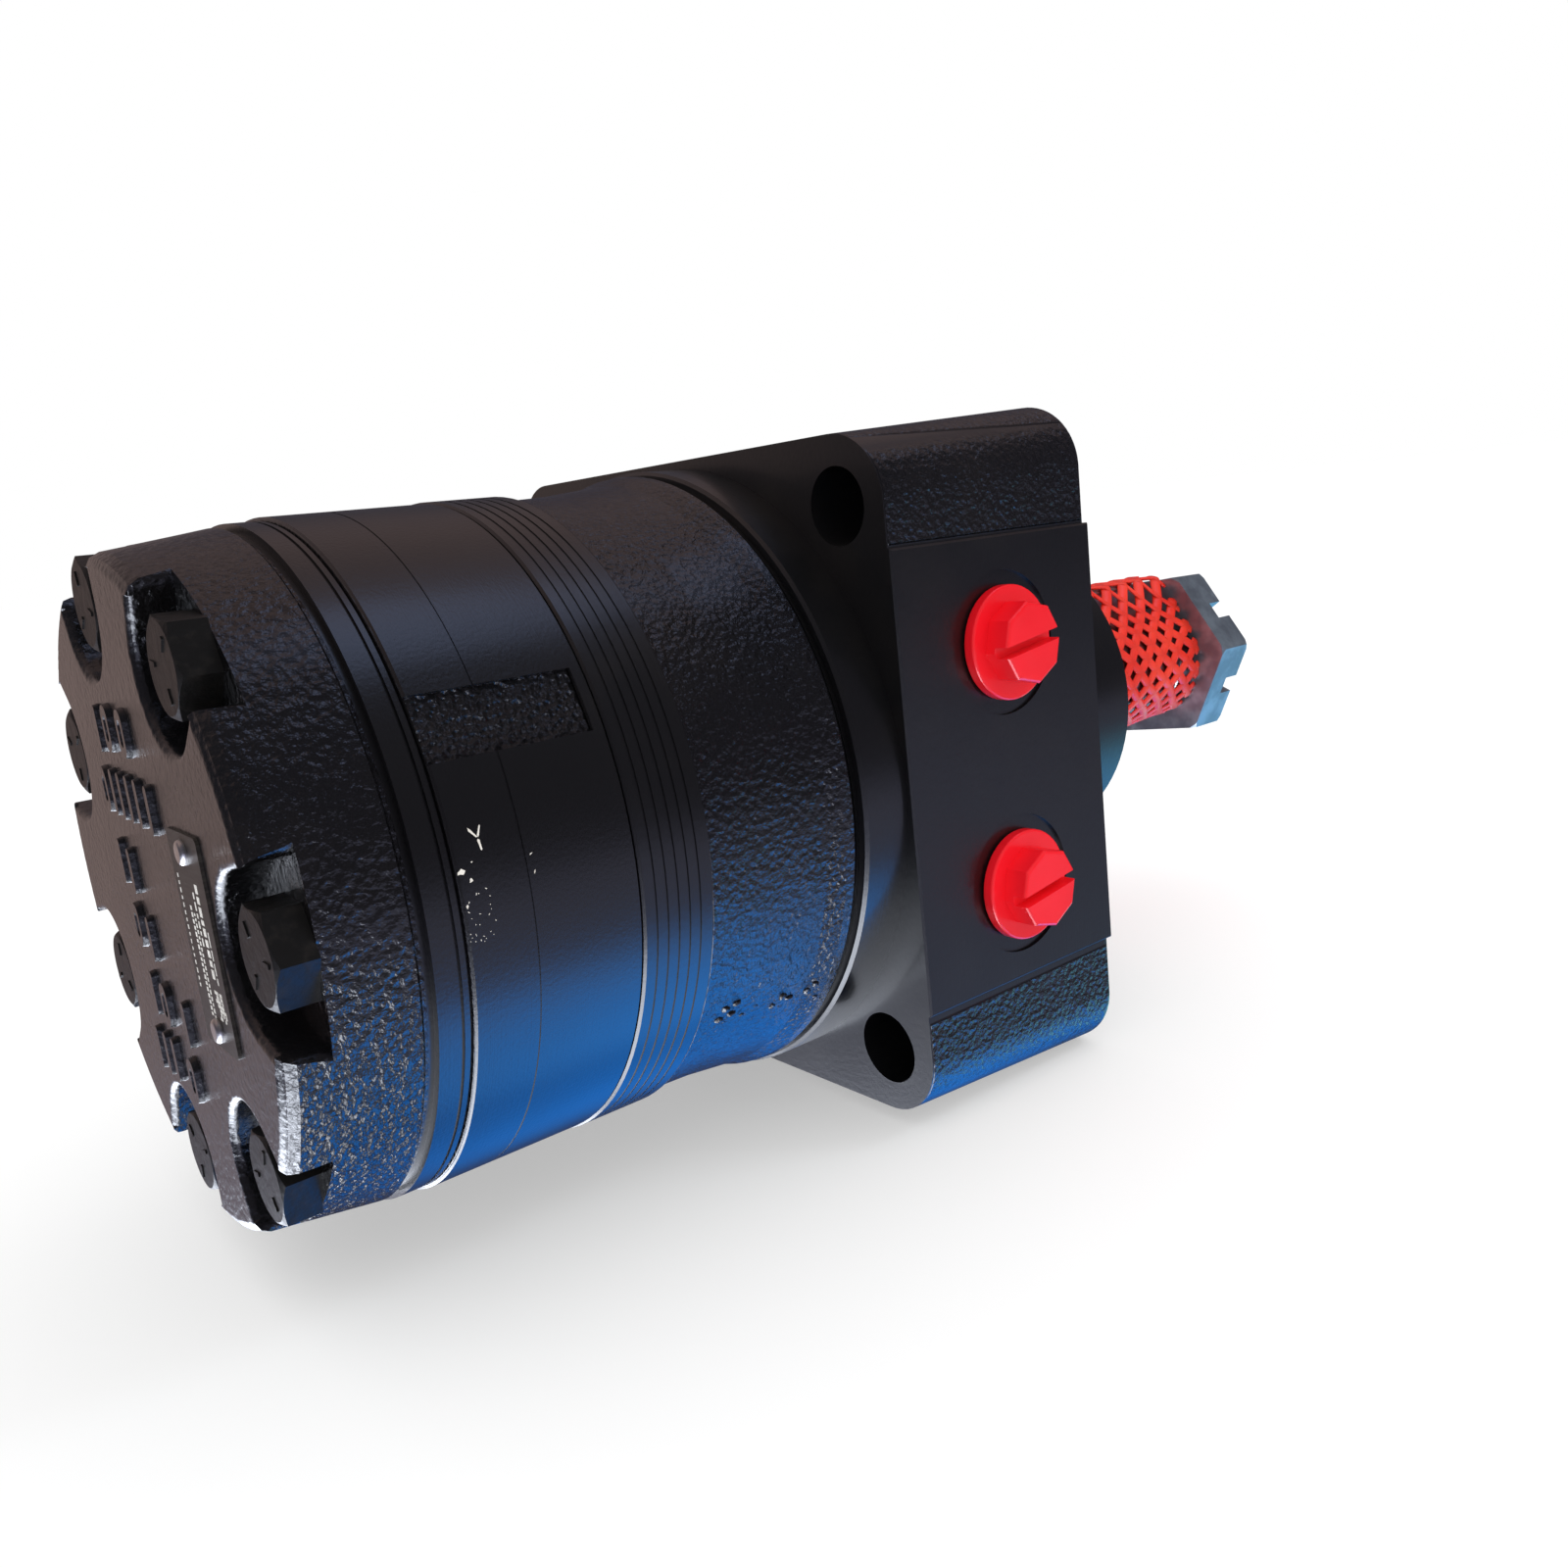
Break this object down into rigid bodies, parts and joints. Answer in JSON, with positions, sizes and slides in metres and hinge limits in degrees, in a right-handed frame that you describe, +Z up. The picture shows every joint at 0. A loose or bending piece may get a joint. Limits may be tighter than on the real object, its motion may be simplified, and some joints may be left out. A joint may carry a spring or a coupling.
{
  "type": "orbital hydraulic wheel motor",
  "caption": "Black orbital hydraulic wheel motor with square rear-pilot flange, side ports closed by red plugs, and a tapered keyed shaft with slotted nut under a net sleeve.",
  "frame": {"origin": "where the shaft axis crosses the rear face of the mounting flange", "axes": "+X along the shaft towards its threaded end, -Y out of the ports, +Z up"},
  "size_m": [0.2904, 0.1375, 0.1358],
  "materials": {
    "black_cast_paint": "satin",
    "black_turned_paint": "satin",
    "black_bolt_paint": "satin",
    "plate_black": "satin",
    "screw_steel": "satin",
    "ground_steel": "satin",
    "grey_iron": "matte",
    "seal_rubber": "matte",
    "seal_plastic": "matte",
    "zinc_plate": "satin",
    "net_plastic": "satin",
    "plug_plastic": "gloss"
  },
  "bodies": {
    "casing": {"housing": "black_cast_paint", "wear_plate": "ground_steel", "stator_ring": "black_turned_paint", "manifold_plate": "black_turned_paint", "end_cover": "black_cast_paint", "cover_bolts": "black_bolt_paint", "nameplate": "plate_black", "nameplate_screws": "screw_steel", "commutator_ring": "grey_iron", "rear_bearing_race": "ground_steel", "front_bearing_race": "ground_steel", "front_thrust_washer": "ground_steel", "rear_thrust_washer": "ground_steel", "shaft_seal": "seal_rubber", "seal_backup_washer": "ground_steel", "wiper_seal": "seal_rubber", "housing_seal_ring": "seal_rubber", "manifold_seal_ring": "seal_rubber", "cover_seal_ring": "seal_rubber", "passage_seals": "seal_rubber"},
    "shaft_group": {"output_shaft": "ground_steel", "shaft_key": "ground_steel", "shaft_nut": "zinc_plate", "shaft_net": "net_plastic"},
    "orbit_group": {"commutator": "ground_steel", "commutator_seal": "seal_plastic"},
    "rotor_body": {"rotor": "ground_steel"},
    "link_body": {"drive_link": "ground_steel"},
    "rear_rollers_body": {"rear_bearing_rollers": "ground_steel"},
    "front_rollers_body": {"front_bearing_rollers": "ground_steel"},
    "thrust_rollers_body": {"thrust_rollers": "ground_steel"},
    "upper_plug_body": {"upper_port_plug": "plug_plastic"},
    "lower_plug_body": {"lower_port_plug": "plug_plastic"},
    "roller_1_body": {"stator_roller_1": "ground_steel"},
    "roller_2_body": {"stator_roller_2": "ground_steel"},
    "roller_3_body": {"stator_roller_3": "ground_steel"},
    "roller_4_body": {"stator_roller_4": "ground_steel"},
    "roller_5_body": {"stator_roller_5": "ground_steel"},
    "roller_6_body": {"stator_roller_6": "ground_steel"},
    "roller_7_body": {"stator_roller_7": "ground_steel"}
  },
  "joints": [
    {"name": "shaft_spin", "type": "hinge", "parent": "casing", "child": "shaft_group", "pos_m": [0, 0, 0], "axis": [1, 0, 0], "continuous": true},
    {"name": "orbit_spin", "type": "hinge", "parent": "casing", "child": "orbit_group", "pos_m": [-0.09835, 0, 0], "axis": [1, 0, 0], "continuous": true},
    {"name": "rotor_spin", "type": "hinge", "parent": "orbit_group", "child": "rotor_body", "pos_m": [-0.071, 0.0027, 0], "axis": [1, 0, 0], "continuous": true},
    {"name": "link_spin", "type": "hinge", "parent": "orbit_group", "child": "link_body", "pos_m": [0.005, 0, 0], "axis": [0.9994, -0.0355, 0], "continuous": true},
    {"name": "rear_rollers_spin", "type": "hinge", "parent": "casing", "child": "rear_rollers_body", "pos_m": [-0.0225, 0, 0], "axis": [1, 0, 0], "continuous": true},
    {"name": "front_rollers_spin", "type": "hinge", "parent": "casing", "child": "front_rollers_body", "pos_m": [0.068, 0, 0], "axis": [1, 0, 0], "continuous": true},
    {"name": "thrust_rollers_spin", "type": "hinge", "parent": "casing", "child": "thrust_rollers_body", "pos_m": [-0.038, 0, 0], "axis": [1, 0, 0], "continuous": true},
    {"name": "upper_plug_pull", "type": "slide", "parent": "casing", "child": "upper_plug_body", "axis": [0, -1, 0], "range_m": [0, 0.03]},
    {"name": "lower_plug_pull", "type": "slide", "parent": "casing", "child": "lower_plug_body", "axis": [0, -1, 0], "range_m": [0, 0.03]},
    {"name": "roller_1_spin", "type": "hinge", "parent": "casing", "child": "roller_1_body", "pos_m": [-0.071, 0.034, 0], "axis": [1, 0, 0], "continuous": true},
    {"name": "roller_2_spin", "type": "hinge", "parent": "casing", "child": "roller_2_body", "pos_m": [-0.071, 0.0212, 0.02658], "axis": [1, 0, 0], "continuous": true},
    {"name": "roller_3_spin", "type": "hinge", "parent": "casing", "child": "roller_3_body", "pos_m": [-0.071, -0.00757, 0.03315], "axis": [1, 0, 0], "continuous": true},
    {"name": "roller_4_spin", "type": "hinge", "parent": "casing", "child": "roller_4_body", "pos_m": [-0.071, -0.03063, 0.01475], "axis": [1, 0, 0], "continuous": true},
    {"name": "roller_5_spin", "type": "hinge", "parent": "casing", "child": "roller_5_body", "pos_m": [-0.071, -0.03063, -0.01475], "axis": [1, 0, 0], "continuous": true},
    {"name": "roller_6_spin", "type": "hinge", "parent": "casing", "child": "roller_6_body", "pos_m": [-0.071, -0.00757, -0.03315], "axis": [1, 0, 0], "continuous": true},
    {"name": "roller_7_spin", "type": "hinge", "parent": "casing", "child": "roller_7_body", "pos_m": [-0.071, 0.0212, -0.02658], "axis": [1, 0, 0], "continuous": true}
  ],
  "couplings": [
    {"joint": "orbit_spin", "follows": "shaft_spin", "ratio": -6},
    {"joint": "rotor_spin", "follows": "shaft_spin", "ratio": 7},
    {"joint": "link_spin", "follows": "shaft_spin", "ratio": 7},
    {"joint": "rear_rollers_spin", "follows": "shaft_spin", "ratio": 0.43636},
    {"joint": "front_rollers_spin", "follows": "shaft_spin", "ratio": 0.43705},
    {"joint": "thrust_rollers_spin", "follows": "shaft_spin", "ratio": 0.5}
  ]
}
